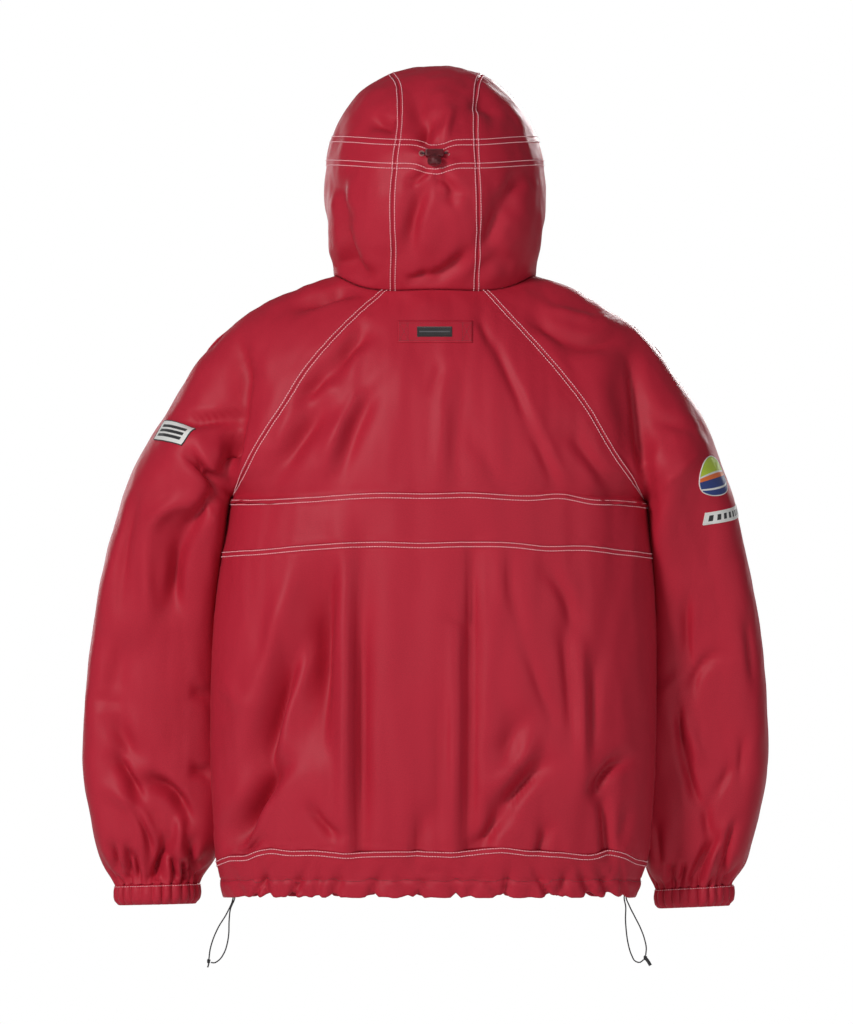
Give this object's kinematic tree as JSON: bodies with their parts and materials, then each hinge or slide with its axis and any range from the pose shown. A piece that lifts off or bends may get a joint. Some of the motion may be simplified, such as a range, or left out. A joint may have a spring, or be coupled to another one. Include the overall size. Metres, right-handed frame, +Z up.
{
  "type": "anorak pullover",
  "caption": "Hooded raglan anorak pullover shell in dark red woven nylon, seen filled out with no wearer, with a cord lock on the hood and elastic loops at the hem.",
  "frame": {"origin": "middle of the neck opening, level with the back neck seam, where a wearer's shoulders hold the garment", "axes": "+Z up along the body, +Y towards the garment's front, +X towards the wearer's right"},
  "size_m": [0.7929, 0.2917, 1.0317],
  "materials": {
    "shell_cloth": "satin",
    "black_trim": "matte",
    "toggle_plastic": "satin",
    "eyelet_enamel": "painted",
    "patch_white": "matte",
    "patch_yellow": "matte"
  },
  "bodies": {
    "root": {"back_upper": "shell_cloth", "back_band": "shell_cloth", "back_lower": "shell_cloth", "front": "shell_cloth", "hem_casing": "shell_cloth", "sleeve_left": "shell_cloth", "sleeve_right": "shell_cloth", "cuff_left": "shell_cloth", "cuff_right": "shell_cloth", "hood_centre": "shell_cloth", "hood_side_left": "shell_cloth", "hood_side_right": "shell_cloth", "neck_tab": "shell_cloth", "neck_label": "black_trim", "arm_patch_left": "patch_white", "arm_patch_right": "patch_yellow", "arm_tag_right": "patch_white", "toggle_body": "toggle_plastic", "toggle_button": "toggle_plastic", "toggle_cord_left": "black_trim", "toggle_cord_right": "black_trim", "hood_eyelet_left": "eyelet_enamel", "hood_eyelet_right": "eyelet_enamel", "hem_eyelet_left": "eyelet_enamel", "hem_eyelet_right": "eyelet_enamel", "hem_cord_left_a": "black_trim", "hem_cord_left_b": "black_trim", "hem_knot_left": "black_trim", "hem_cord_right_a": "black_trim", "hem_cord_right_b": "black_trim", "hem_knot_right": "black_trim"}
  },
  "joints": []
}
